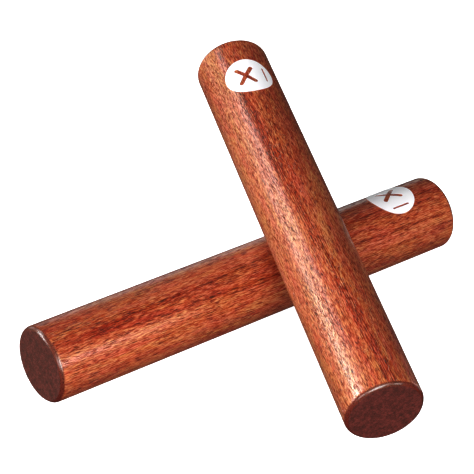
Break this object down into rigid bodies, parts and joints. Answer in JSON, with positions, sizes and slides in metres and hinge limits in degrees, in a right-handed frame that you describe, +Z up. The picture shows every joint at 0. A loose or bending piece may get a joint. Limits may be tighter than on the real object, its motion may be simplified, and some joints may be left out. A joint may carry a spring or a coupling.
{
  "type": "claves",
  "caption": "Pair of round hardwood claves, one lying down and one leaning across it to strike it, each a solid stick with a round label.",
  "frame": {"origin": "on the floor, under the middle of the box that holds both claves as they lie crossed", "axes": "+X along the held clave from its plain end to its labelled end, +Z up"},
  "size_m": [0.2032, 0.195, 0.0886],
  "materials": {
    "stained_hardwood": "open-pored hardwood with a red-brown stain under gloss lacquer",
    "white_film": "thin white printed film under the lacquer"
  },
  "bodies": {
    "held": {"held_stick": "stained_hardwood", "held_label": "white_film"},
    "striker": {"striker_stick": "stained_hardwood", "striker_label": "white_film"}
  },
  "joints": [
    {"name": "striker_lift", "type": "slide", "parent": "held", "child": "striker", "axis": [0, 0, 1], "range_m": [0, 0.1]}
  ]
}
